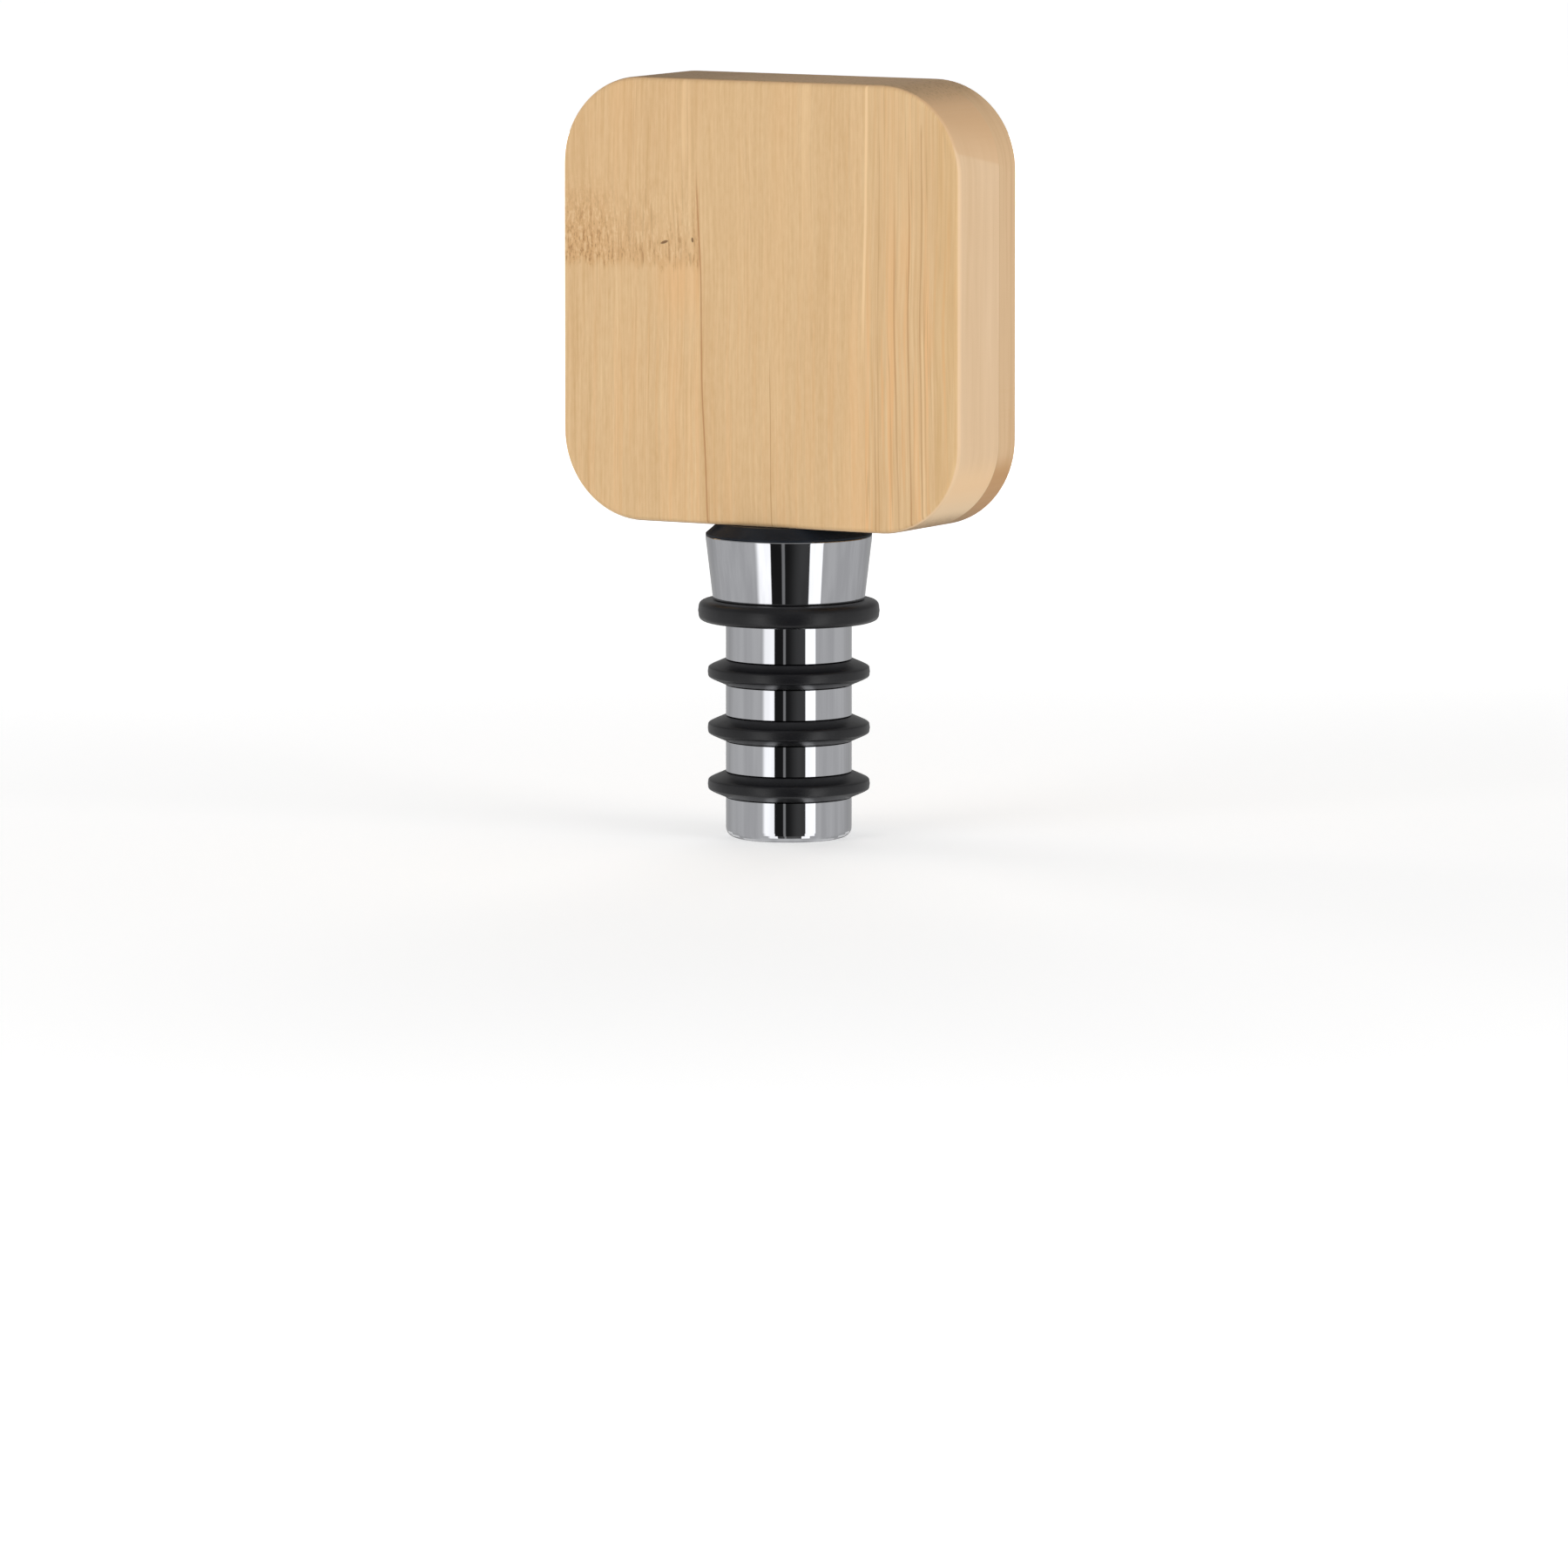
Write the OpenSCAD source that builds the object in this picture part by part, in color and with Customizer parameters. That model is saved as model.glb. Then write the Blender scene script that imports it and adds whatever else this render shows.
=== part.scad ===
// Bottle stopper with a square bamboo knob on a plated plug with rubber seal rings.
// The plug's flat end stands on z = 0, its axis is Z, and the knob's front face looks along -Y.

/* [Knob block] */
// Width of the block along X
block_w = 56; // [44:0.5:80]
// Height of the block along Z
block_h = 55; // [44:0.5:80]
// Thickness of the block along Y
block_t = 15; // [12:0.5:24]
// Radius of the block's four corners, seen from the front
block_corner_r = 11; // [3:0.5:18]
// Radius that eases every edge of the two faces
block_edge_r = 0.7; // [0.3:0.1:2]

/* [Spacer washer] */
// Thickness of the washer between the block and the collar
washer_t = 1.5; // [1:0.1:3]
// Diameter of the washer where its bevel meets the block
washer_top_d = 17.6; // [12:0.1:18]
// Height of the straight rim under the bevel
washer_rim_h = 0.2; // [0.1:0.1:0.6]
// How far the washer's rim stands in from the collar's upper rim
washer_inset = 0.05; // [0:0.05:0.4]

/* [Collar] */
// Diameter of the collar at its upper rim
collar_top_d = 20.7; // [19:0.1:26]
// Diameter of the collar at its lower rim
collar_bottom_d = 18.8; // [17.5:0.1:20.5]
// Height of the collar
collar_h = 8; // [4:0.1:16]
// Radius of both rims of the collar
collar_edge_r = 0.2; // [0.1:0.05:0.6]

/* [Stem] */
// Diameter of the stem's lands between the rings
stem_d = 15.6; // [14.4:0.1:17]
// Diameter of the ring grooves' floors
groove_d = 12.4; // [11:0.1:13.6]
// Length from the lowest ring's middle to the flat end
tail_len = 6.6; // [5:0.1:16]
// Radius round the flat end
nose_r = 1.2; // [0.4:0.1:2]

/* [Seat ring] */
// Outer diameter of the seat ring, which lies under the collar
seat_ring_d = 22.4; // [21:0.1:26]
// Height of the seat ring
seat_ring_h = 2.8; // [2:0.1:4]
// Radius of the seat ring's rounded rim
seat_ring_round_r = 1.2; // [0.3:0.1:1.8]

/* [Neck rings] */
// Number of sealing rings round the stem
neck_ring_count = 3; // [1:1:4]
// Outer diameter of the neck rings
neck_ring_d = 20; // [18.4:0.1:22]
// Height of a neck ring at its foot in the groove
neck_ring_foot_h = 3.2; // [2.6:0.1:4]
// Height of the straight land round a neck ring's tip
neck_ring_tip_h = 1.3; // [0.8:0.1:1.8]
// Radius of the two edges of a neck ring's tip
neck_ring_tip_r = 0.35; // [0.1:0.05:0.6]
// Distance between the middles of neighbouring neck rings
neck_ring_pitch = 7; // [5.5:0.5:10]
// Distance from the seat ring's underside to the first neck ring's middle
seat_to_neck_ring = 6.2; // [4:0.1:12]

/* [Joining stud] */
// Diameter of the stud that joins the block and the plug
stud_d = 6; // [4:0.5:8]
// Length of the stud inside the block
stud_in_block = 16; // [10:0.5:28]
// Length of the stud inside the plug
stud_in_plug = 12; // [8:0.5:14]
// Chamfer at both ends of the stud
stud_chamfer = 0.8; // [0.3:0.1:1.2]
// Depth left free past each end of the stud
stud_end_gap = 0.8; // [0.3:0.1:3]
// Play of the washer's hole round the stud, measured on the radius
washer_hole_gap = 0.2; // [0.05:0.05:0.6]
// Play between a ring's foot and each wall of its groove
ring_side_gap = 0.05; // [0:0.01:0.2]

/* [Hidden] */
$fn = 96;
arc_steps = 6;
drill_tip_angle = 118;
block_color = "burlywood";
chrome_color = "silver";
rubber_color = "#1c1d1f";
steel_color = "lightslategray";

plug_len = tail_len + (neck_ring_count - 1) * neck_ring_pitch + seat_to_neck_ring + seat_ring_h;
collar_top_z = plug_len + collar_h;
block_bottom_z = collar_top_z + washer_t;
seat_ring_z = plug_len - seat_ring_h;
stud_bottom_z = collar_top_z - stud_in_plug;
stud_top_z = block_bottom_z + stud_in_block;
neck_groove_h = neck_ring_foot_h + 2 * ring_side_gap;
seat_round_r = min(seat_ring_round_r, 0.45 * seat_ring_h);
tip_round_r = min(neck_ring_tip_r, 0.45 * neck_ring_tip_h);

// Middle height of a neck ring, where the first one lies highest
function neck_ring_z(i) = seat_ring_z - seat_to_neck_ring - (i - 1) * neck_ring_pitch;

function unit(v) = v / norm(v);

// Points of the arc that rounds one corner [x, y, radius] between its two neighbours
function corner_arc(before, corner, after) =
    let (
        p = [corner[0], corner[1]],
        u = unit([before[0], before[1]] - p),
        v = unit([after[0], after[1]] - p),
        half = acos(u * v) / 2,
        centre = p + unit(u + v) * corner[2] / sin(half),
        start = p + u * corner[2] / tan(half) - centre,
        from = atan2(start[1], start[0]),
        side = sign(u[0] * v[1] - u[1] * v[0]),
        sweep = side * (2 * half - 180)
    )
    [for (k = [0 : arc_steps])
        let (angle = from + sweep * k / arc_steps)
        centre + corner[2] * [cos(angle), sin(angle)]];

// Outline through corners [x, y] or [x, y, radius], with the corners that have a radius rounded
function rounded_outline(corners) =
    let (n = len(corners))
    [for (i = [0 : n - 1]) each
        is_undef(corners[i][2])
            ? [corners[i]]
            : corner_arc(corners[(i + n - 1) % n], corners[i], corners[(i + 1) % n])];

// Section across the block, rounded where it meets the faces: its width by the thickness
function slab_section(width) =
    let (x = width / 2, y = block_t / 2, r = block_edge_r)
    rounded_outline([[-x, -y, r], [x, -y, r], [x, y, r], [-x, y, r]]);

module slab_corner() {
    rotate_extrude(angle = 90)
        polygon(rounded_outline([
            [0, -block_t / 2],
            [block_corner_r, -block_t / 2, block_edge_r],
            [block_corner_r, block_t / 2, block_edge_r],
            [0, block_t / 2]
        ]));
}

// The block lying flat: two bars crossed, and a quarter turn of the same edge at each corner
module rounded_slab() {
    bar_x = block_w - 2 * block_corner_r;
    bar_y = block_h - 2 * block_corner_r;
    rotate([90, 0, 90]) linear_extrude(bar_x, center = true) polygon(slab_section(block_h));
    rotate([90, 0, 0]) linear_extrude(bar_y, center = true) polygon(slab_section(block_w));
    corner_sides = [[1, 1], [-1, 1], [-1, -1], [1, -1]];
    for (quarter = [0 : 3])
        translate([bar_x / 2 * corner_sides[quarter][0], bar_y / 2 * corner_sides[quarter][1], 0])
            rotate(90 * quarter) slab_corner();
}

// Drilled blind hole that opens upwards at z = 0, with the point that the drill leaves
module blind_hole(d, depth, past_mouth) {
    point_h = d / 2 / tan(drill_tip_angle / 2);
    translate([0, 0, -depth]) cylinder(d = d, h = depth + past_mouth);
    translate([0, 0, -depth - point_h]) cylinder(d1 = 0, d2 = d, h = point_h);
}

module bamboo_block() {
    color(block_color)
        difference() {
            translate([0, 0, block_bottom_z + block_h / 2]) rotate([90, 0, 0]) rounded_slab();
            translate([0, 0, block_bottom_z])
                mirror([0, 0, 1]) blind_hole(stud_d, stud_in_block + stud_end_gap, 1);
        }
}

module spacer_washer() {
    hole_r = stud_d / 2 + washer_hole_gap;
    rim_r = collar_top_d / 2 - washer_inset;
    color(rubber_color)
        translate([0, 0, collar_top_z])
            rotate_extrude()
                polygon([
                    [hole_r, 0],
                    [rim_r, 0],
                    [rim_r, washer_rim_h],
                    [washer_top_d / 2, washer_t],
                    [hole_r, washer_t]
                ]);
}

// Half section of the plug's collar and stem, from the flat end up
function plug_profile() =
    let (land_r = stem_d / 2, floor_r = groove_d / 2)
    rounded_outline(concat(
        [[0, 0], [land_r, 0, nose_r]],
        [for (i = [neck_ring_count : -1 : 1]) each groove_corners(neck_ring_z(i), neck_groove_h)],
        [
            [land_r, seat_ring_z],
            [floor_r, seat_ring_z],
            [floor_r, plug_len],
            [collar_bottom_d / 2, plug_len, collar_edge_r],
            [collar_top_d / 2, collar_top_z, collar_edge_r],
            [0, collar_top_z]
        ]
    ));

function groove_corners(middle_z, height) = [
    [stem_d / 2, middle_z - height / 2],
    [groove_d / 2, middle_z - height / 2],
    [groove_d / 2, middle_z + height / 2],
    [stem_d / 2, middle_z + height / 2]
];

module plug_body() {
    color(chrome_color)
        difference() {
            rotate_extrude() polygon(plug_profile());
            translate([0, 0, collar_top_z]) blind_hole(stud_d, stud_in_plug + stud_end_gap, 1);
        }
}

module joining_stud() {
    stud_len = stud_top_z - stud_bottom_z;
    stud_r = stud_d / 2;
    color(steel_color)
        translate([0, 0, stud_bottom_z])
            rotate_extrude()
                polygon([
                    [0, 0],
                    [stud_r - stud_chamfer, 0],
                    [stud_r, stud_chamfer],
                    [stud_r, stud_len - stud_chamfer],
                    [stud_r - stud_chamfer, stud_len],
                    [0, stud_len]
                ]);
}

module seat_ring() {
    color(rubber_color)
        translate([0, 0, seat_ring_z])
            rotate_extrude()
                polygon(rounded_outline([
                    [groove_d / 2, 0],
                    [seat_ring_d / 2, 0, seat_round_r],
                    [seat_ring_d / 2, seat_ring_h, seat_round_r],
                    [groove_d / 2, seat_ring_h]
                ]));
}

// A moulded lip seal: a foot that fills its groove, and flanks that narrow to a round tip
module neck_ring(i) {
    foot = neck_ring_foot_h / 2;
    tip = neck_ring_tip_h / 2;
    color(rubber_color)
        translate([0, 0, neck_ring_z(i)])
            rotate_extrude()
                polygon(rounded_outline([
                    [groove_d / 2, -foot],
                    [stem_d / 2, -foot],
                    [neck_ring_d / 2, -tip, tip_round_r],
                    [neck_ring_d / 2, tip, tip_round_r],
                    [stem_d / 2, foot],
                    [groove_d / 2, foot]
                ]));
}

bamboo_block();
spacer_washer();
plug_body();
joining_stud();
seat_ring();
for (i = [1 : neck_ring_count])
    neck_ring(i);
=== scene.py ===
import math
import bpy
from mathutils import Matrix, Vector


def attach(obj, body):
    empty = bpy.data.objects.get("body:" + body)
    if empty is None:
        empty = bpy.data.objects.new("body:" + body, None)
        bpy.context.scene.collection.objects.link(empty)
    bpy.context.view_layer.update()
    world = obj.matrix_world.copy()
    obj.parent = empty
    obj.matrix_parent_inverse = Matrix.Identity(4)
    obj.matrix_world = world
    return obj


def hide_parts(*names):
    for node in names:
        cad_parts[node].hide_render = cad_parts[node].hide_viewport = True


mm = 0.001

# Packed model
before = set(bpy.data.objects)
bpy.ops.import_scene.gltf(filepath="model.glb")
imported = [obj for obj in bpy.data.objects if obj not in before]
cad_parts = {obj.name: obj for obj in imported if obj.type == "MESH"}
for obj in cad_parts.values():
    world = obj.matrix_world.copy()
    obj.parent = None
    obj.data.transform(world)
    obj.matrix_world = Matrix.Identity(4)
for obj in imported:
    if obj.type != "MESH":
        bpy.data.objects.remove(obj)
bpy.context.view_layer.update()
scene = bpy.context.scene
print("Packed model loaded:", ", ".join(sorted(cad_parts)))

# Camera at the photograph's angle, for a square picture
cameraSettings = {
    "azimuth": 29.7,             # degrees round from the front face, towards +X
    "elevation": 6.8,
    "distance": 1500 * mm,
    "aimHeight": 6.5 * mm,       # where the middle of the picture meets the axis
    "aimLeft": 0.60 * mm,        # how far the aim lies to the left of the axis
    "pictureWidth": 194.4 * mm,  # what the square picture takes in at the axis
    "sensorWidth": 36,
    "clip": (0.05, 50),          # metres
}


def direction(azimuth, elevation):  # from the axis outwards, both angles in degrees
    a, e = math.radians(azimuth), math.radians(elevation)
    return Vector((math.sin(a) * math.cos(e), -math.cos(a) * math.cos(e), math.sin(e)))


def addLooking(name, data, location, outwards):  # a camera or lamp that looks back along a direction
    made = bpy.data.objects.new(name, data)
    made.location = location
    made.rotation_mode = "QUATERNION"
    made.rotation_quaternion = (-outwards).to_track_quat("-Z", "Y")
    scene.collection.objects.link(made)
    return made


def addCamera(settings):
    outwards = direction(settings["azimuth"], settings["elevation"])
    right = direction(settings["azimuth"] + 90, 0)
    aim = Vector((0, 0, settings["aimHeight"])) - right * settings["aimLeft"]
    data = bpy.data.cameras.new("photoCamera")
    data.sensor_width = settings["sensorWidth"]
    data.lens = data.sensor_width * settings["distance"] / settings["pictureWidth"]
    data.clip_start, data.clip_end = settings["clip"]
    camera = addLooking("photoCamera", data, aim + outwards * settings["distance"], outwards)
    scene.camera = camera
    scene.view_settings.view_transform = "Standard"


addCamera(cameraSettings)
print("Camera placed")


# One socket of a node tree, so that sums on values read as plain expressions
class Wire:
    def __init__(self, maker, socket):
        self.maker = maker
        self.socket = socket

    def maths(self, operation, other=0.0):
        return self.maker.maths(operation, self, other)

    def __add__(self, other):
        return self.maths("ADD", other)

    def __radd__(self, other):
        return self.maths("ADD", other)

    def __sub__(self, other):
        return self.maths("SUBTRACT", other)

    def __rsub__(self, other):
        return self.maker.maths("SUBTRACT", other, self)

    def __mul__(self, other):
        return self.maths("MULTIPLY", other)

    def __rmul__(self, other):
        return self.maths("MULTIPLY", other)

    def __truediv__(self, other):
        return self.maths("DIVIDE", other)

    def __rtruediv__(self, other):
        return self.maker.maths("DIVIDE", other, self)

    def __pow__(self, other):
        return self.maths("POWER", other)

    def __abs__(self):
        return self.maths("ABSOLUTE")


# A node tree: of a material, of the world, or of geometry
class Maker:
    def __init__(self, tree):
        self.tree = tree
        self.tree.nodes.clear()

    def node(self, kind, settings=None, sockets=None, output=0):
        made = self.tree.nodes.new(kind)
        for name, value in (settings or {}).items():
            setattr(made, name, value)
        for key, value in (sockets or {}).items():
            if isinstance(value, Wire):
                self.tree.links.new(value.socket, made.inputs[key])
            else:
                made.inputs[key].default_value = value
        return Wire(self, made.outputs[output]) if made.outputs else None

    def maths(self, operation, first, second):
        return self.node("ShaderNodeMath", {"operation": operation}, {0: first, 1: second})

    def coords(self):  # object coordinates in millimetres
        place = self.node("ShaderNodeTexCoord", output=3)
        return self.node("ShaderNodeVectorMath", {"operation": "SCALE"}, {0: place, "Scale": 1 / mm})

    def split(self, vector):
        first = self.node("ShaderNodeSeparateXYZ", None, {0: vector})
        return [Wire(self, socket) for socket in first.socket.node.outputs]

    def vector(self, x, y, z):
        return self.node("ShaderNodeCombineXYZ", None, {0: x, 1: y, 2: z})

    def noise(self, vector, scale=1.0, detail=2.0, roughness=0.5):
        return self.node("ShaderNodeTexNoise", {"noise_dimensions": "3D"},
                         {"Vector": vector, "Scale": scale, "Detail": detail, "Roughness": roughness})

    def grain(self, place, repeats, detail=2, roughness=0.5):  # noise, its repeats a mm set by axis
        stretched = [axis * repeat for axis, repeat in zip(place, repeats)]
        return self.noise(self.vector(*stretched), 1, detail, roughness)

    def step(self, value, low, high, start=0.0, end=1.0):  # a soft step from start to end
        return self.node("ShaderNodeMapRange", {"interpolation_type": "SMOOTHSTEP"},
                         {0: value, 1: low, 2: high, 3: start, 4: end})

    def line(self, value, place, halfWidth):  # 1 on the line, 0 away from it
        return self.step(abs(value - place), halfWidth, 0.25 * halfWidth)

    def mix(self, factor, first, second):
        return self.node("ShaderNodeMix", {"data_type": "RGBA"},
                         {0: factor, 6: first, 7: second}, output=2)

    def highest(self, *values):
        top = values[0]
        for value in values[1:]:
            top = top.maths("MAXIMUM", value)
        return top

    def mixValue(self, factor, first, second):
        return first + (second - first) * factor

    def bump(self, height, distance, strength):
        return self.node("ShaderNodeBump", None,
                         {"Strength": strength, "Distance": distance, "Height": height})

    def surface(self, sockets):
        shader = self.node("ShaderNodeBsdfPrincipled", None, sockets)
        self.node("ShaderNodeOutputMaterial", None, {"Surface": shader})


def newMaterial(name):
    material = bpy.data.materials.new(name)
    material.use_nodes = True
    return material, Maker(material.node_tree)


def linear(red, green, blue):  # a colour as a screen shows it, 0 to 255, as a shader takes it
    def channel(c):
        c /= 255
        return c / 12.92 if c <= 0.04045 else ((c + 0.055) / 1.055) ** 2.4
    return (channel(red), channel(green), channel(blue), 1.0)


# Bamboo of the knob: glued strips on the faces, a ply that runs round the back edge, end grain on top
bamboo = {
    "toasted": linear(208, 164, 112),  # the two ends of the wood's tone, honey in the middle
    "pale": linear(240, 209, 163),
    "honey": 0.53,
    "fibre": linear(160, 112, 66),
    "pore": linear(100, 64, 36),
    "rimTone": linear(216, 176, 118),  # the last of the right-hand strip
    "rimFrom": (24.4, 25.6),           # lengths in mm, here and below
    "rimShare": 0.25,
    "faceFrom": (7.18, 7.38),          # from here outwards a point lies on the front or the back face
    "backPlyFrom": 2.9,
    "backTurn": (5.0, 128.0),          # the back ply is the same cane turned round
    "stripJoints": (-8.4, 14.95),
    "jointSoftness": 0.1,
    "stripSeeds": (3.0, 7.0),
    "footFrom": (74, 52),              # the strips grow livelier below this
    "wander": 1.2,                     # how far a fibre leaves its line
    "drift": (0.05, 9.0, 0.04),
}

# Satin finish: its roughness, what adds to it, and how far each detail stands proud or hollow
satin = {
    "roughness": 0.52,
    "moreRough": {"hair": 0.2, "dashes": 0.12, "cut": 0.1},
    "relief": {"hair": 0.35, "thread": 0.3, "dark": -0.25, "pores": -1.5, "node": -2.2, "dots": -0.6},
    "reliefDepth": 0.03 * mm,
    "reliefStrength": 0.6,
    "shine": 0.30,
}

# Fibres: repeats a mm across and along the cane, detail, roughness, strength everywhere, and what the
# left strip, the right strip and the right strip's foot add to the strength
fibres = {
    "hair": (3.6, 0.10, 2, 0.6, 0.55, 0.25, 0.15, 0.0),
    "thread": (1.5, 0.045, 2, 0.6, 0.375, 0.225, 0.1125, 0.525),
    "streak": (0.62, 0.018, 2, 0.5, 0.30, 0.18, 0.09, 0.42),
    "broad": (0.13, 0.012, 1, 0.5, 0.50, 0.0, 0.0, 0.0),
    "weave": (2.2, 0.6, 2, 0.6, 0.42, 0.0, -0.25, 0.0),
}

# Thin dark strands, drawn where a broad pattern passes from one band to the next
strand = {
    "across": 0.55,                    # repeats a mm
    "along": 0.006,
    "detail": 3,
    "roughness": 0.6,
    "bands": 9,
    "halfWidth": (0.10, 0.02),
    "shownWhere": (-0.10, 0.12),       # where the streaks are pale
    "share": (0.10, 0.05, 0.16),       # everywhere, and more on the left and on the right strip
}

# Orange warmth along the streaks, most of it low on the right strip, and a blush under the node
warmth = {
    "tone": linear(238, 187, 131),
    "streaks": (-0.03, 0.15),
    "lessThread": 0.5,
    "everywhere": 0.08,
    "foot": 0.12,
    "right": 0.10,
    "rightBelow": 0.28,
    "rightBelowFrom": (82, 70),
    "rightFoot": 0.12,
    "broad": 0.22,
    "broadFrom": (0.0, 0.18),
    "blush": 0.35,
    "blushFoot": (62, 69),
    "blushTop": (73, 70),
    "blushFrom": (-17, -12),
}

# The cane's node: a toasted band of short dashes across the left strip, thick along its foot
caneNode = {
    "tone": linear(211, 162, 109),
    "foot": 70.6,
    "footFade": (-0.4, 0.9),
    "top": (85.0, 76.0),
    "raggedness": 5.0,
    "raggedEvery": 0.9,
    "outerFrom": (-17.0, -25.0),       # towards the knob's edge it is thicker
    "thickHeight": (7.0, 5.0),         # plain, and more at the edge
    "thickFull": 0.5,
    "cell": (3.0, 0.45, 0.0, 2, 0.5),  # repeats a mm across and along, seed, detail, roughness
    "crumb": (3.6, 1.8, 4.0, 2, 0.6),
    "crumbShare": (0.35, 0.5),
    "run": (1.9, 0.10, 8.0, 2, 0.5),
    "dashWhere": (0.54, 0.66),         # between these shades of the cells
    "glintWhere": (0.46, 0.36),
    "runWhere": (0.55, 0.64),          # between these shades of the runs
    "bandShare": (0.12, 0.14, 0.26),   # plain, more at the edge, and more where it is thick
    "flushFrom": (76, 88),
    "flushShare": 0.14,
    "runShare": 0.22,
    "glintShare": 0.45,
    "dashShare": (0.55, 0.15, 0.20),   # where thick, more at the edge, and thinly over the band
    "dashStrength": 0.62,
    "pores": (((-13.4, 73.8), (0.64, 0.20), 18),   # place, half size and slant in degrees
              ((-9.4, 74.2), (0.19, 0.36), 8)),
    "poreSoftness": (1.0, 0.4),
    "poreStrength": 0.8,
    "frontFrom": (-6.5, -7.0),
}

# Lines along the front: place, lean, half width, strength, height where it has faded in, over how much
frontLines = {
    "dark": (
        (-8.3, -0.036, 0.16, 1.00, 84, -5),
        (1.6, -0.004, 0.11, 0.75, 62, -6),
        (16.5, 0.003, 0.16, 0.50, 64, -14),
        (16.9, 0.0, 0.12, 0.40, 88, -3),
        (19.2, -0.016, 0.17, 0.55, 86, -16),
        (21.2, -0.006, 0.16, 0.75, 90, -12),
        (22.9, 0.0, 0.15, 0.65, 90, -2),
        (23.5, 0.0, 0.10, 0.30, 76, -10),
        (-12.1, 0.0, 0.08, 0.30, 49, -5),
        (-7.1, 0.0, 0.09, 0.40, 46, -4),
        (-12.8, 0.004, 0.08, 0.22, 71, -2),
        (-15.6, 0.004, 0.08, 0.16, 70, -2),
        (4.5, 0.0, 0.08, 0.14, 58, -10),
        (-3.5, 0.0, 0.08, 0.12, 52, -8),
    ),
    "light": (
        (-11.0, 0.020, 0.55, 0.55, 80, 7),
        (6.7, 0.004, 0.75, 0.34, 62, 26),
        (6.2, 0.004, 0.18, 0.40, 60, 18),
        (14.9, 0.006, 0.30, 0.95, 58, 12),
        (17.4, 0.0, 0.16, 0.40, 74, 10),
        (23.2, 0.0, 0.16, 0.55, 66, -4),
        (10.4, 0.0, 0.22, 0.22, 62, 10),
        (-9.8, 0.0, 0.30, 0.30, 44, 6),
    ),
    "middle": 66.6,                    # height that the lines lean about
    "darkTone": linear(172, 104, 50),
    "lightTone": linear(248, 214, 166),
    "darkShare": 0.56,
    "lightShare": 0.85,
    "footFade": (51, 46),              # the left strip's dark lines fade towards its foot
    "footFadeShare": 0.6,
}

# Sides of the block, a little pinker than the faces, with painted shade and painted light where they
# turn up and down. "Facing" is the upward part of the normal.
blockSide = {
    "plain": linear(224, 190, 149),
    "pale": linear(239, 208, 172),
    "plainShare": 0.45,
    "hair": (0.6, 3.0, 0.10),          # repeats a mm along x, y and z
    "hairShare": 0.5,
    "cloud": (0.2, 0.5, 0.03),
    "cloudShare": 1.4,
    "bounceLight": linear(243, 206, 161),   # painted bounce light where the lower corners turn under, nearer and further round
    "under": linear(251, 221, 180),
    "bounceLightFacing": (-0.08, -0.5),
    "underFacing": (-0.45, -0.90),
    "corner": linear(222, 182, 138),   # painted shade where the upper corners turn upwards: first a step, then a fade
    "cornerStep": (0.12, 0.17, 0.6),
    "cornerFade": (0.17, 0.6, 0.4),
    "cornerLean": 0.017,
    "ply": linear(220, 185, 143),
    # the ply's darker tone, laid in random patches and as painted shade where the ply turns downward
    "plyDarkAndShade": linear(198, 154, 108),
    "plyShadeFacing": (-0.10, -0.40),
    "plyShare": 0.85,
    "plyCloud": (0.10, 1.6, 0.05),
    "plyCloudWhere": (0.46, 0.70),
    "plyCloudShare": 0.30,
    "plyLine": (0.12, 0.25),           # half width and share
    "edgeHighlight": linear(241, 208, 168),    # painted highlight on the front's eased edge
    "edgeHighlightFrom": (-6.55, -6.90),
    "edgeHighlightFacing": (0.35, 0.05),
    "edgeHighlightShare": 0.8,
}

# End grain: cut fibre bundles show as small dark dots. Its tone, darker than the faces', is partly the
# end grain's own and partly painted shade.
endGrain = {
    "tone": linear(182, 151, 113),
    "paintedShade": linear(150, 122, 88),     # painted shade, towards its left side
    "paintedShadeFrom": (6.0, -16.0),
    "paintedShadeShare": 0.6,
    "cloud": (0.4, 1.2, 0.0),
    "cloudShare": 0.5,
    "facing": (0.74, 0.99),
    "dots": 2.1,                       # to a mm
    "dotSize": (0.42, 0.18),
    "dotShare": 0.30,
    "glueHalfWidth": 0.12,
    "glueShare": 0.5,
}


# Where a point lies on the cane: across it, up it, on which strip, and whether in the back ply
def placeOnCane(m):
    x, y, z = m.split(m.coords())
    soft = bamboo["jointSoftness"]
    behind = m.step(y, bamboo["backPlyFrom"] - soft, bamboo["backPlyFrom"] + soft)
    across = m.mixValue(behind, x, bamboo["backTurn"][0] - x)
    up = m.mixValue(behind, z, bamboo["backTurn"][1] - z)
    leftJoint, rightJoint = bamboo["stripJoints"]
    left = m.step(across, leftJoint + soft, leftJoint - soft)
    right = m.step(across, rightJoint - soft, rightJoint + soft)
    drift = m.grain((across, behind, up), bamboo["drift"], 1) - 0.5
    return {
        "x": x, "y": y, "z": z,
        "behind": behind, "across": across, "up": up, "left": left, "right": right,
        "wander": across + drift * bamboo["wander"],
        "strip": left * bamboo["stripSeeds"][0] + right * bamboo["stripSeeds"][1],
        "foot": m.step(up, *bamboo["footFrom"]),
    }


def onStrips(at, everywhere, left, right):
    return everywhere + at["left"] * left + at["right"] * right


def caneNoise(m, at, across, along, seed, detail, roughness):
    return m.noise(m.vector(at["wander"] * across, seed, at["up"] * along), 1, detail, roughness)


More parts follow.
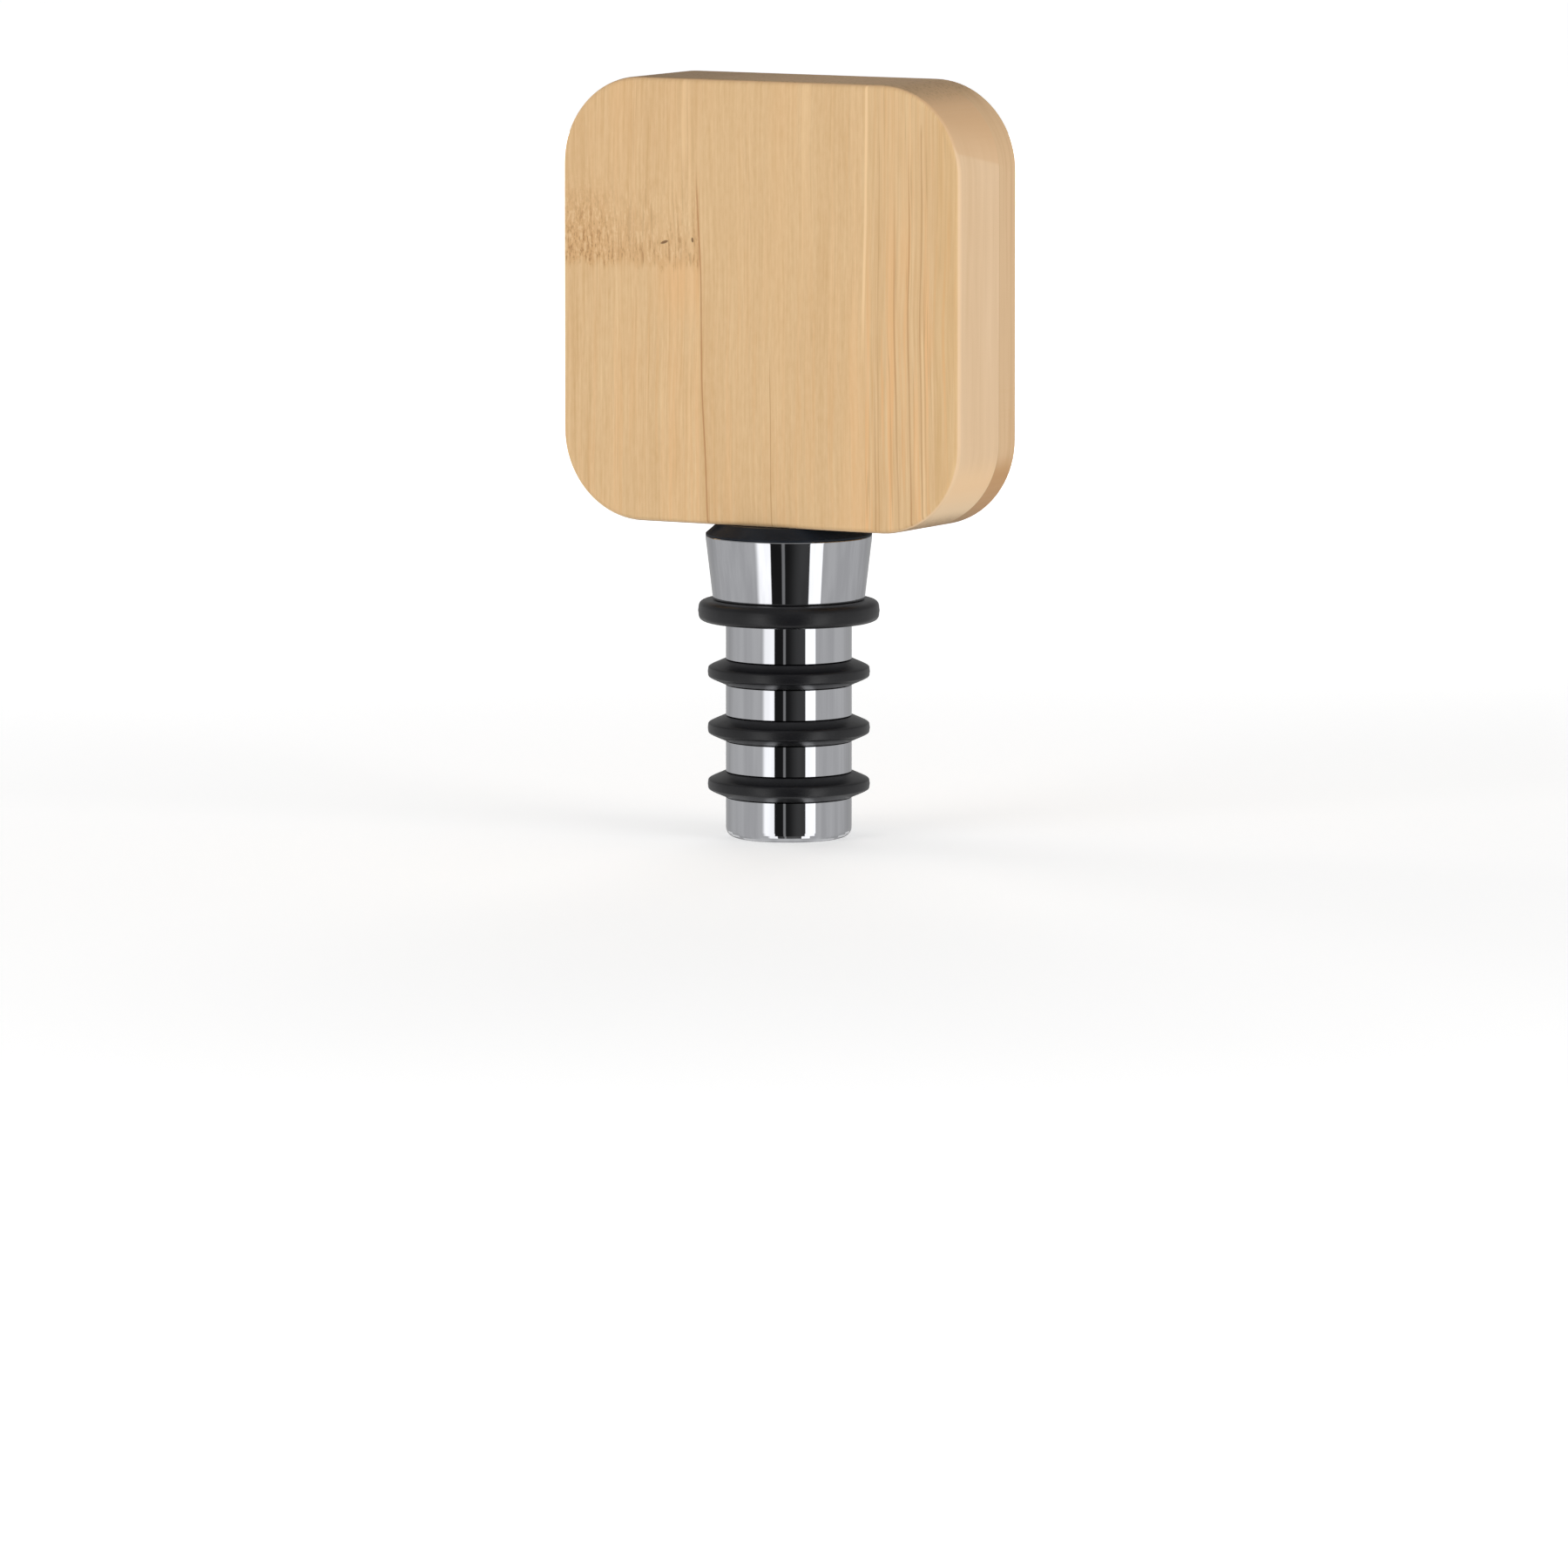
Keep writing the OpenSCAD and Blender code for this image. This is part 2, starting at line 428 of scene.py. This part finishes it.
# Tone of the strips, and the fibres that make it, each about nought
def stripColour(m, at):
    fibre, tone = {}, bamboo["honey"]
    for name, (across, along, detail, roughness, everywhere, left, right, foot) in fibres.items():
        fibre[name] = caneNoise(m, at, across, along, at["strip"], detail, roughness) - 0.5
        strength = onStrips(at, everywhere, left, right) + at["right"] * at["foot"] * foot
        tone = fibre[name] * strength + tone
    colour = m.mix(tone, bamboo["toasted"], bamboo["pale"])

    foot, up, right = at["foot"], at["up"], at["right"]
    below = m.step(up, *warmth["rightBelowFrom"]) * warmth["rightBelow"]
    amount = right * (warmth["right"] + below + foot * warmth["rightFoot"])
    amount = amount + foot * warmth["foot"] + warmth["everywhere"]
    streaks = fibre["streak"] - fibre["thread"] * warmth["lessThread"]
    warm = m.step(streaks, *warmth["streaks"]) * amount
    warm = warm + m.step(fibre["broad"], *warmth["broadFrom"]) * warmth["broad"] * (1 - right)
    blush = m.step(up, *warmth["blushFoot"]) * m.step(up, *warmth["blushTop"])
    blush = blush * m.step(at["across"], *warmth["blushFrom"]) * at["left"]
    warm = (warm + blush * warmth["blush"]).maths("MINIMUM", 1.0)
    colour = m.mix(warm, colour, warmth["tone"])

    pattern = caneNoise(m, at, strand["across"], strand["along"], at["strip"],
                        strand["detail"], strand["roughness"])
    bands = (pattern * strand["bands"]).maths("FRACT")
    thin = m.step(abs(bands - 0.5), *strand["halfWidth"])
    thin = thin * m.step(fibre["streak"], *strand["shownWhere"])
    colour = m.mix(thin * onStrips(at, *strand["share"]), colour, bamboo["fibre"])
    rim = m.step(at["across"], *bamboo["rimFrom"]) * bamboo["rimShare"]
    return m.mix(rim, colour, bamboo["rimTone"]), fibre


# Lays the node over the strips' colour, and also returns its dashes and its relief
def layCaneNode(m, at, colour):
    across, up = at["across"], at["up"]
    ragged = m.noise(m.vector(across * caneNode["raggedEvery"], 0.0, 0.0), 1, 2, 0.7) - 0.5
    rise = up - (caneNode["foot"] + ragged * caneNode["raggedness"])
    outer = m.step(across, *caneNode["outerFrom"])
    band = m.step(rise, *caneNode["footFade"]) * m.step(up, *caneNode["top"]) * at["left"]
    thickHeight, outerHeight = caneNode["thickHeight"]
    thick = m.step(rise, thickHeight + outer * outerHeight, caneNode["thickFull"]) * band

    crumb = caneNoise(m, at, *caneNode["crumb"]) - 0.5
    crumbShare, outerCrumb = caneNode["crumbShare"]
    cell = caneNoise(m, at, *caneNode["cell"]) + crumb * (crumbShare + outer * outerCrumb)
    dashShare, outerDash, thinDash = caneNode["dashShare"]
    dashes = thick * (dashShare + outer * outerDash) + band * thinDash
    dashes = dashes * m.step(cell, *caneNode["dashWhere"])
    runs = m.step(caneNoise(m, at, *caneNode["run"]), *caneNode["runWhere"]) * band
    glints = m.step(cell, *caneNode["glintWhere"]) * band
    flush = m.step(up, *caneNode["flushFrom"]) * at["left"]

    plain, outerBand, thickBand = caneNode["bandShare"]
    colour = m.mix(band * (plain + outer * outerBand) + thick * thickBand, colour, caneNode["tone"])
    colour = m.mix(flush * caneNode["flushShare"], colour, caneNode["tone"])
    colour = m.mix(runs * caneNode["runShare"], colour, bamboo["fibre"])
    colour = m.mix(glints * caneNode["glintShare"], colour, bamboo["pale"])
    colour = m.mix(dashes * caneNode["dashStrength"], colour, bamboo["fibre"])
    return colour, dashes, cell * band


def linesOf(m, at, kind):
    masks = []
    for place, lean, halfWidth, strength, shownFrom, fade in frontLines[kind]:
        offset = at["wander"] - place - (at["up"] - frontLines["middle"]) * lean
        shown = m.step(at["up"], shownFrom, shownFrom + fade)
        masks.append(m.line(offset, 0.0, halfWidth) * strength * shown)
    return m.highest(*masks)


# Lays the lines along the front over the colour, and also returns the dark ones
def layLines(m, at, colour):
    faded = m.step(at["up"], *frontLines["footFade"]) * at["left"] * frontLines["footFadeShare"]
    dark = linesOf(m, at, "dark") * (1 - faded)
    colour = m.mix(linesOf(m, at, "light") * frontLines["lightShare"], colour, frontLines["lightTone"])
    return m.mix(dark * frontLines["darkShare"], colour, frontLines["darkTone"]), dark


# Two pores in the node, on the front alone
def poresOf(m, at):
    masks = []
    for place, size, slant in caneNode["pores"]:
        dx, dz = at["x"] - place[0], at["z"] - place[1]
        c, s = math.cos(math.radians(slant)), math.sin(math.radians(slant))
        along, over = (dx * c + dz * s) / size[0], (dz * c - dx * s) / size[1]
        masks.append(m.step(along * along + over * over, *caneNode["poreSoftness"]))
    return m.highest(*masks) * m.step(at["y"], *caneNode["frontFrom"])


# Flat and rounded sides, with the back ply as a band that runs all round. Painted shade on the upper
# corners and where the back ply turns down, painted bounce light under the lower corners, and a painted
# highlight on the front's eased edge.
def sideColour(m, at, facing):
    y, behind, place = at["y"], at["behind"], (at["x"], at["y"], at["z"])
    # how far a point has turned up into an upper corner, for the painted shade there
    bent = facing + y * blockSide["cornerLean"]
    stepLow, stepHigh, stepShare = blockSide["cornerStep"]
    fadeLow, fadeHigh, fadeShare = blockSide["cornerFade"]
    cornerShading = m.step(bent, stepLow, stepHigh) * stepShare + m.step(bent, fadeLow, fadeHigh) * fadeShare
    hair = (m.grain(place, blockSide["hair"], 3, 0.6) - 0.5) * blockSide["hairShare"]
    cloud = (m.grain(place, blockSide["cloud"]) - 0.5) * blockSide["cloudShare"]
    tone = hair + cloud + blockSide["plainShare"]
    colour = m.mix(tone, blockSide["plain"], blockSide["pale"])
    # painted shade where the sides turn up into the upper corners
    colour = m.mix(cornerShading, colour, blockSide["corner"])
    # painted bounce light where the sides turn under, lighter further round
    colour = m.mix(m.step(facing, *blockSide["bounceLightFacing"]), colour, blockSide["bounceLight"])
    colour = m.mix(m.step(facing, *blockSide["underFacing"]), colour, blockSide["under"])

    colour = m.mix(behind * (hair + blockSide["plyShare"]), colour, blockSide["ply"])
    plyCloud = m.step(m.grain(place, blockSide["plyCloud"]), *blockSide["plyCloudWhere"])
    colour = m.mix(behind * plyCloud * blockSide["plyCloudShare"], colour, blockSide["plyDarkAndShade"])
    # painted shade where the back ply turns downward
    colour = m.mix(behind * m.step(facing, *blockSide["plyShadeFacing"]), colour, blockSide["plyDarkAndShade"])
    lineHalf, lineShare = blockSide["plyLine"]
    plyLine = m.line(y, bamboo["backPlyFrom"], lineHalf) * lineShare * (1 - cornerShading)
    colour = m.mix(plyLine, colour, bamboo["fibre"])
    # painted highlight along the front's eased edge, where it does not face up
    edgeHighlight = m.step(y, *blockSide["edgeHighlightFrom"]) * m.step(facing, *blockSide["edgeHighlightFacing"])
    return m.mix(edgeHighlight * blockSide["edgeHighlightShare"], colour, blockSide["edgeHighlight"])


# Lays end grain, partly darkened with painted shade, over the sides where they face up or down. It also
# returns where, and its dots.
def layEndGrain(m, at, facing, colour):
    x, y = at["x"], at["y"]
    low, high = endGrain["facing"]
    cut = m.step(facing, low, high) + m.step(facing, -low, -high)
    dots = m.node("ShaderNodeTexVoronoi", {"feature": "F1"},
                  {"Vector": m.vector(x, y, 0.0), "Scale": endGrain["dots"]})
    dotMask = m.step(dots, *endGrain["dotSize"]) * cut
    cloud = m.grain((x, y, at["z"]), endGrain["cloud"]) * endGrain["cloudShare"]
    # the end grain's tone clouded towards the painted corner shade
    ends = m.mix(cloud, endGrain["tone"], blockSide["corner"])
    # painted shade, deepening towards the end grain's left side
    ends = m.mix(m.step(x, *endGrain["paintedShadeFrom"]) * endGrain["paintedShadeShare"], ends, endGrain["paintedShade"])
    halfWidth = endGrain["glueHalfWidth"]
    glueLines = [m.line(at["across"], joint, halfWidth) for joint in bamboo["stripJoints"]]
    glued = m.highest(*glueLines, m.line(y, bamboo["backPlyFrom"], halfWidth))
    ends = m.mix(glued * endGrain["glueShare"], ends, bamboo["fibre"])
    colour = m.mix(cut, colour, ends)
    return m.mix(dotMask * endGrain["dotShare"], colour, bamboo["pore"]), cut, dotMask


def bambooMaterial():
    material, m = newMaterial("bambooSatin")
    at = placeOnCane(m)
    face, fibre = stripColour(m, at)
    face, dashes, band = layCaneNode(m, at, face)
    face, dark = layLines(m, at, face)
    pores = poresOf(m, at)
    face = m.mix(pores * caneNode["poreStrength"], face, bamboo["pore"])

    facing = m.split(m.node("ShaderNodeTexCoord", output=1))[2]
    side = sideColour(m, at, facing)
    side, cut, dots = layEndGrain(m, at, facing, side)
    onFace = m.step(abs(at["y"]), *bamboo["faceFrom"])

    details = dict(fibre, dark=dark, pores=pores, node=band, dots=dots, dashes=dashes, cut=cut)
    relief = sum(details[name] * height for name, height in satin["relief"].items())
    rough = sum(details[name] * amount for name, amount in satin["moreRough"].items())
    m.surface({
        "Base Color": m.mix(onFace, side, face),
        "Roughness": rough + satin["roughness"],
        "Normal": m.bump(relief, satin["reliefDepth"], satin["reliefStrength"]),
        "Specular IOR Level": satin["shine"],
    })
    return material


# Chrome plate on the casting, with the slight waviness and fine wipe marks that plating shows
chrome = {
    "pale": linear(210, 211, 215),
    "dark": linear(195, 196, 200),
    "wipes": (0.7, 0.7, 0.03),                   # repeats a mm along x, y and z
    "wipesTone": (0.32, 0.68),
    "roughness": 0.03,
    "haze": (0.3, 0.3, 0.3),
    "hazeRoughness": (0.45, 0.85, 0.0, 0.015),   # between these two shades of the noise, from and to
    "wipesRoughness": (0.6, 0.85, 0.0, 0.02),
    "waves": (0.3, 0.3, 0.09),
    "waveDepth": 0.01 * mm,
    "waveStrength": 0.25,
}


def chromeMaterial():
    material, m = newMaterial("chromePlate")
    place = m.split(m.coords())
    haze = m.grain(place, chrome["haze"])
    wipes = m.grain(place, chrome["wipes"], 3)
    waves = m.grain(place, chrome["waves"], 1)
    rough = m.step(haze, *chrome["hazeRoughness"]) + m.step(wipes, *chrome["wipesRoughness"])
    m.surface({
        "Base Color": m.mix(m.step(wipes, *chrome["wipesTone"]), chrome["pale"], chrome["dark"]),
        "Metallic": 1.0,
        "Roughness": rough + chrome["roughness"],
        "Normal": m.bump(waves, chrome["waveDepth"], chrome["waveStrength"]),
    })
    return material


# Moulded black: the rings' rubber, and the washer's plastic
rubberLook = {
    "name": "blackRubber",
    "dark": linear(15, 15, 18),
    "pale": linear(22, 22, 25),
    "roughness": 0.34,
    "shine": 0.50,
    "grain": 6.0,          # to a mm
}
plasticLook = {
    "name": "blackPlastic",
    "dark": linear(27, 31, 37),
    "pale": linear(34, 39, 46),
    "roughness": 0.46,
    "shine": 0.12,
    "grain": 9.0,
}
moulded = {                # what both have in common
    "cloud": 0.3,
    "cloudTone": (0.3, 0.75),
    "cloudRoughness": 0.15,
    "grainRoughness": 0.10,
    "grainDepth": 0.012 * mm,
    "grainStrength": 0.6,
}


def blackMouldedMaterial(look):
    material, m = newMaterial(look["name"])
    place = m.coords()
    grain = m.noise(place, look["grain"], 2, 0.6)
    cloud = m.noise(place, moulded["cloud"], 2)
    rough = (cloud - 0.5) * moulded["cloudRoughness"] + (grain - 0.5) * moulded["grainRoughness"]
    m.surface({
        "Base Color": m.mix(m.step(cloud, *moulded["cloudTone"]), look["pale"], look["dark"]),
        "Roughness": rough + look["roughness"],
        "Normal": m.bump(grain, moulded["grainDepth"], moulded["grainStrength"]),
        "Specular IOR Level": look["shine"],
    })
    return material


# Zinc plated steel of the stud
zinc = {
    "bluish": linear(176, 178, 178),
    "yellowish": linear(196, 197, 190),
    "mottled": (0.8, 0.8, 0.8),
    "drawn": (2, 2, 0.2),
    "roughness": 0.28,
    "drawnRoughness": 0.14,
    "drawnDepth": 0.01 * mm,
    "drawnStrength": 0.5,
}


def studMaterial():
    material, m = newMaterial("zincSteel")
    place = m.split(m.coords())
    drawn = m.grain(place, zinc["drawn"], 3)
    mottled = m.grain(place, zinc["mottled"])
    m.surface({
        "Base Color": m.mix(mottled, zinc["bluish"], zinc["yellowish"]),
        "Metallic": 1.0,
        "Roughness": drawn * zinc["drawnRoughness"] + zinc["roughness"],
        "Normal": m.bump(drawn, zinc["drawnDepth"], zinc["drawnStrength"]),
    })
    return material


def dress(nodeName, material):
    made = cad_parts[nodeName]
    made.data.materials.clear()
    made.data.materials.append(material)


rubber = blackMouldedMaterial(rubberLook)
steel = studMaterial()
dress("bamboo_block", bambooMaterial())
dress("plug_body", chromeMaterial())
dress("spacer_washer", blackMouldedMaterial(plasticLook))
dress("joining_stud", steel)
for ringName in ("seat_ring", "neck_ring_1", "neck_ring_2", "neck_ring_3"):
    dress(ringName, rubber)
print("Materials made")


mergeDistance = 0.001 * mm


# Helpers for pieces that a rule makes: the tree, its named inputs, and the plain mesh that it leaves
def newTree(name, values):
    tree = bpy.data.node_groups.new(name, "GeometryNodeTree")
    maker = Maker(tree)
    tree.interface.new_socket("Geometry", in_out="INPUT", socket_type="NodeSocketGeometry")
    tree.interface.new_socket("Geometry", in_out="OUTPUT", socket_type="NodeSocketGeometry")
    for title, value in values.items():
        kind = "NodeSocketInt" if isinstance(value, int) else "NodeSocketFloat"
        tree.interface.new_socket(title, in_out="INPUT", socket_type=kind).default_value = value
    given = maker.node("NodeGroupInput").socket.node.outputs
    return tree, maker, {title: Wire(maker, given[title]) for title in values}


def openSheet(m, columns, rows):  # a unit sheet, and where each of its points lies on it, -0.5 to 0.5
    sheet = m.node("GeometryNodeMeshGrid", None, {
        "Size X": 1.0, "Size Y": 1.0, "Vertices X": columns + 1, "Vertices Y": rows + 1,
    })
    across, along, _ = m.split(m.node("GeometryNodeInputPosition"))
    return sheet, across, along


def finishTree(m, sheet, turn, radius, height, material):  # the sheet laid round the axis, and closed
    laidAt = m.vector(turn.maths("COSINE") * radius * mm, turn.maths("SINE") * radius * mm, height * mm)
    laid = m.node("GeometryNodeSetPosition", None, {"Geometry": sheet, "Position": laidAt})
    closed = m.node("GeometryNodeMergeByDistance", None, {"Geometry": laid, "Distance": mergeDistance})
    smooth = m.node("GeometryNodeSetShadeSmooth", None, {"Geometry": closed})
    real = m.node("GeometryNodeRealizeInstances", None, {"Geometry": smooth})
    dressed = m.node("GeometryNodeSetMaterial", None, {"Geometry": real, "Material": material})
    m.node("NodeGroupOutput", None, {0: dressed})


def grow(name, tree, values):
    start = bpy.data.objects.new(name + "Start", bpy.data.meshes.new(name + "Start"))
    scene.collection.objects.link(start)
    modifier = start.modifiers.new("shape", "NODES")
    modifier.node_group = tree
    for item in tree.interface.items_tree:
        if item.in_out == "INPUT" and item.name in values:
            modifier[item.identifier] = values[item.name]
    grown = start.evaluated_get(bpy.context.evaluated_depsgraph_get())
    mesh = bpy.data.meshes.new_from_object(grown)
    mesh.name = name
    bpy.data.objects.remove(start)
    piece = bpy.data.objects.new(name, mesh)
    scene.collection.objects.link(piece)
    return piece


# Seal rings: a rounded lip swept round the axis, with the fine seam of its mould
seatRing = {
    "Middle height": 28.2,   # lengths in mm
    "Inner radius": 6.2,
    "Outer radius": 11.2,
    "Land radius": 7.8,      # where the ring leaves its groove and may narrow
    "Foot half height": 1.4,
    "Tip half height": 1.4,
    "Corner power": 0.52,    # 1 gives an oval section, towards 0 a square one
    "Seam height": 0.05,
    "Seam half width": 0.14,
    "Profile steps": 96,
    "Round steps": 160,
}
neckRing = dict(seatRing)
neckRing.update({
    "Outer radius": 10.0,
    "Foot half height": 1.6,
    "Tip half height": 0.65,
    "Corner power": 0.22,
})
neckRingHeights = (20.6, 13.6, 6.6)
roundingError = 0.000001


def ringTree(values, material):
    tree, m, given = newTree("sealRing", values)
    sheet, across, along = openSheet(m, given["Round steps"], given["Profile steps"])
    turn, bend = across * math.tau, along * math.tau      # round the axis, and round the section
    outward, upward = bend.maths("COSINE"), bend.maths("SINE")

    def squared(part):  # less what rounding leaves of a nought, which would open the section's seam
        size = (abs(part) - roundingError).maths("MAXIMUM", 0.0)
        return part.maths("SIGN") * size ** given["Corner power"]

    halfWide = (given["Outer radius"] - given["Inner radius"]) / 2
    radius = given["Inner radius"] + halfWide + squared(outward) * halfWide
    toTip = (radius - given["Land radius"]) / (given["Outer radius"] - given["Land radius"])
    height = squared(upward) * m.mixValue(toTip.maths("MAXIMUM", 0.0), given["Foot half height"],
                                          given["Tip half height"])
    atSeam = 1 - (abs(height) / given["Seam half width"]).maths("MINIMUM", 1.0)
    radius = radius + atSeam * given["Seam height"] * outward.maths("GREATER_THAN", 0.5)
    finishTree(m, sheet, turn, radius, given["Middle height"] + height, material)
    return tree


# Threaded joining stud: the thread runs from chamfer to chamfer
stud = {
    "Low end": 25.6,         # lengths in mm
    "High end": 55.1,
    "Radius": 3.0,
    "Thread depth": 0.55,
    "Pitch": 1.0,
    "Crest share": 0.15,     # of the thread's flank, from the crest down, that stays at full radius
    "Root share": 0.15,
    "Chamfer": 0.8,
    "Rows a turn": 10,
    "Turns": 36,
    "Round steps": 60,
}


def studTree(values, material):
    tree, m, given = newTree("threadedStud", values)
    sheet, across, up = openSheet(m, given["Round steps"], given["Rows a turn"] * given["Turns"])
    row = up * given["Turns"]                             # in turns of the thread, nought at the middle
    along = (row + across) * given["Pitch"]               # the rows climb with the thread
    halfLong = (given["High end"] - given["Low end"]) / 2
    toEnd = halfLong - abs(along)                         # below nought the sheet folds over the end
    saw = abs(row.maths("FRACT") * 2 - 1)
    cut = m.step(saw, given["Crest share"], 1 - given["Root share"])
    thread = given["Radius"] - given["Thread depth"] * cut
    thread = thread.maths("MINIMUM", given["Radius"] - given["Chamfer"] + toEnd.maths("MAXIMUM", 0.0))
    cap = (1 + toEnd / given["Pitch"]).maths("MAXIMUM", 0.0).maths("MINIMUM", 1.0)
    radius = thread * cap
    level = along.maths("MAXIMUM", halfLong * -1).maths("MINIMUM", halfLong)
    middle = (given["High end"] + given["Low end"]) / 2
    finishTree(m, sheet, across * math.tau, radius, middle + level, material)
    return tree


def fit(piece, nodeName):
    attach(piece, "root")
    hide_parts(nodeName)


ringMaker = ringTree(seatRing, rubber)
fit(grow("seatRing", ringMaker, seatRing), "seat_ring")
for number, middleHeight in enumerate(neckRingHeights, 1):
    neckRing["Middle height"] = middleHeight
    fit(grow("neckRing" + str(number), ringMaker, neckRing), "neck_ring_" + str(number))
fit(grow("threadedStud", studTree(stud, steel), stud), "joining_stud")
print("Rings and stud made")


# Studio: a pale floor, four soft lamps round the object, and a room that is dimmer overhead
studio = {
    "floorSize": 12.0,
    "floorShade": linear(236, 236, 236),
    "floorGlow": (0.42, 0.72),  # what the floor adds for the camera alone, near and far, to be white
    "glowReach": (0.08, 0.60),
    "room": (0.0, 0.8, 0.55, 0.28),  # from the horizon to this rise, and how bright it is at both
    "lampAim": (0, 0, 50 * mm),
    "lamps": {                 # azimuth, elevation, distance and width in m, light level at the object
        "frontLeft": (-18, 4, 1.3, 0.8, 0.63),
        "right": (82, 2, 1.3, 0.8, 0.80),
        "behind": (205, 12, 1.3, 0.9, 0.50),
        "left": (-98, 8, 1.3, 0.8, 0.35),
    },
}

# What polished metal shows: a dark gap with the camera in it, a bright panel on each side, grey beyond.
# Angles are in degrees from the camera's azimuth, rises are the upward part of a direction.
reflections = {
    "gapFade": (-3, 20, 0.015, 0.062),     # from beside the sliver to the right-hand panel
    "sliver": 0.24,
    "sliverAt": (-10.2, -5.8),
    "panelLeft": (-46.5, -26.5),
    "panelLeftFade": (5, 4),               # its outer side is soft
    "panelLeftGlow": 1.595,
    "panelRight": (30.5, 50),
    "panelRightGlow": 1.75,
    "softness": 0.8,
    "room": 0.57,
    "roomBehind": 0.43,                    # dimmer, since the metal's limbs, which look there, brighten
    "roomBehindFrom": (105, 150),
    "rearPanel": (142, 160),               # and the same again behind, for whoever looks from there
    "rearPanelGlow": 0.95,
    "rearGap": 0.28,
    "rearGapFrom": (164, 168),
    "rearRise": (-0.19, -0.27),            # low, so the limbs seen from the front miss it
    "ceiling": 0.30,
    "ceilingRise": (-0.02, 0.25),
    "floorSeen": 0.62,                     # straight down, where every panel would meet in one point
    "floorSeenRise": (-0.75, -0.92),
}


def addLamp(name, azimuth, elevation, distance, width, level):
    data = bpy.data.lights.new(name, "AREA")
    data.shape = "SQUARE"
    data.size = width
    data.energy = level * math.pi ** 2 * distance ** 2
    outwards = direction(azimuth, elevation)
    lamp = addLooking(name, data, Vector(studio["lampAim"]) + outwards * distance, outwards)
    lamp.visible_glossy = False       # polished metal shows the room's own panels instead


def addFloor():
    half = studio["floorSize"] / 2
    mesh = bpy.data.meshes.new("floor")
    mesh.from_pydata([(-half, -half, 0), (half, -half, 0), (half, half, 0), (-half, half, 0)],
                     [], [(0, 1, 2, 3)])
    floor = bpy.data.objects.new("floor", mesh)
    scene.collection.objects.link(floor)
    material, m = newMaterial("paleFloor")
    seen = m.node("ShaderNodeLightPath")
    x, y, z = m.split(m.node("ShaderNodeTexCoord", output=3))
    glowing = m.step((x * x + y * y) ** 0.5, *studio["glowReach"], *studio["floorGlow"])
    glow = m.node("ShaderNodeEmission", None, {"Color": (1, 1, 1, 1), "Strength": seen * glowing})
    matte = m.node("ShaderNodeBsdfDiffuse", None, {"Color": studio["floorShade"]})
    both = m.node("ShaderNodeAddShader", None, {0: matte, 1: glow})
    m.node("ShaderNodeOutputMaterial", None, {"Surface": both})
    mesh.materials.append(material)
    floor.visible_glossy = False


def addWorld():
    world = bpy.data.worlds.new("studioRoom")
    scene.world = world
    world.use_nodes = True
    m = Maker(world.node_tree)
    x, y, z = m.split(m.node("ShaderNodeTexCoord", output=0))
    path = m.node("ShaderNodeLightPath")
    paths = path.socket.node.outputs
    isCamera, isGlossy = Wire(m, paths["Is Camera Ray"]), Wire(m, paths["Is Glossy Ray"])
    isThrough = Wire(m, paths["Is Transmission Ray"])

    around = x.maths("ARCTAN2", y * -1.0) - math.radians(cameraSettings["azimuth"])
    turn = m.node("ShaderNodeMath", {"operation": "WRAP"}, {0: around, 1: math.pi, 2: -math.pi})
    turn = turn * math.degrees(1)
    soft = reflections["softness"]

    def panel(low, high, softLow=(soft, soft)):
        return m.step(turn, low - softLow[0], low + softLow[1]) * m.step(turn, high + soft, high - soft)

    room = reflections["room"]
    left, right = reflections["panelLeft"], reflections["panelRight"]
    gap = panel(left[1], right[0])
    leftPanel = panel(*left, reflections["panelLeftFade"]) * (reflections["panelLeftGlow"] - room)
    rightPanel = panel(*right) * (reflections["panelRightGlow"] - room)
    rearFrom, rearTo = reflections["rearPanel"]
    rear = panel(rearFrom, rearTo) + panel(-rearTo, -rearFrom)
    rearGap = m.step(abs(turn), *reflections["rearGapFrom"])
    low = m.step(z, *reflections["rearRise"])
    sliver = panel(*reflections["sliverAt"]) * reflections["sliver"]
    depth = m.step(turn, *reflections["gapFade"]) + sliver
    beside = m.step(abs(turn), *reflections["roomBehindFrom"], room, reflections["roomBehind"])

    shown = beside * (1 - gap) + gap * depth + leftPanel + rightPanel
    shown = shown + rear * low * (reflections["rearPanelGlow"] - room)
    shown = m.mixValue(rearGap * low, shown, reflections["rearGap"])
    shown = m.mixValue(m.step(z, *reflections["ceilingRise"]), shown, reflections["ceiling"])
    shown = m.mixValue(m.step(z, *reflections["floorSeenRise"]), shown, reflections["floorSeen"])

    strength = m.mixValue(isGlossy, m.step(z, *studio["room"]), shown)
    strength = m.mixValue(isCamera.maths("MAXIMUM", isThrough), strength, 1.0)
    glow = m.node("ShaderNodeBackground", None, {"Color": (1, 1, 1, 1), "Strength": strength})
    m.node("ShaderNodeOutputWorld", None, {"Surface": glow})


addFloor()
addWorld()
for lampName, lampValues in studio["lamps"].items():
    addLamp(lampName, *lampValues)
print("Studio lit")
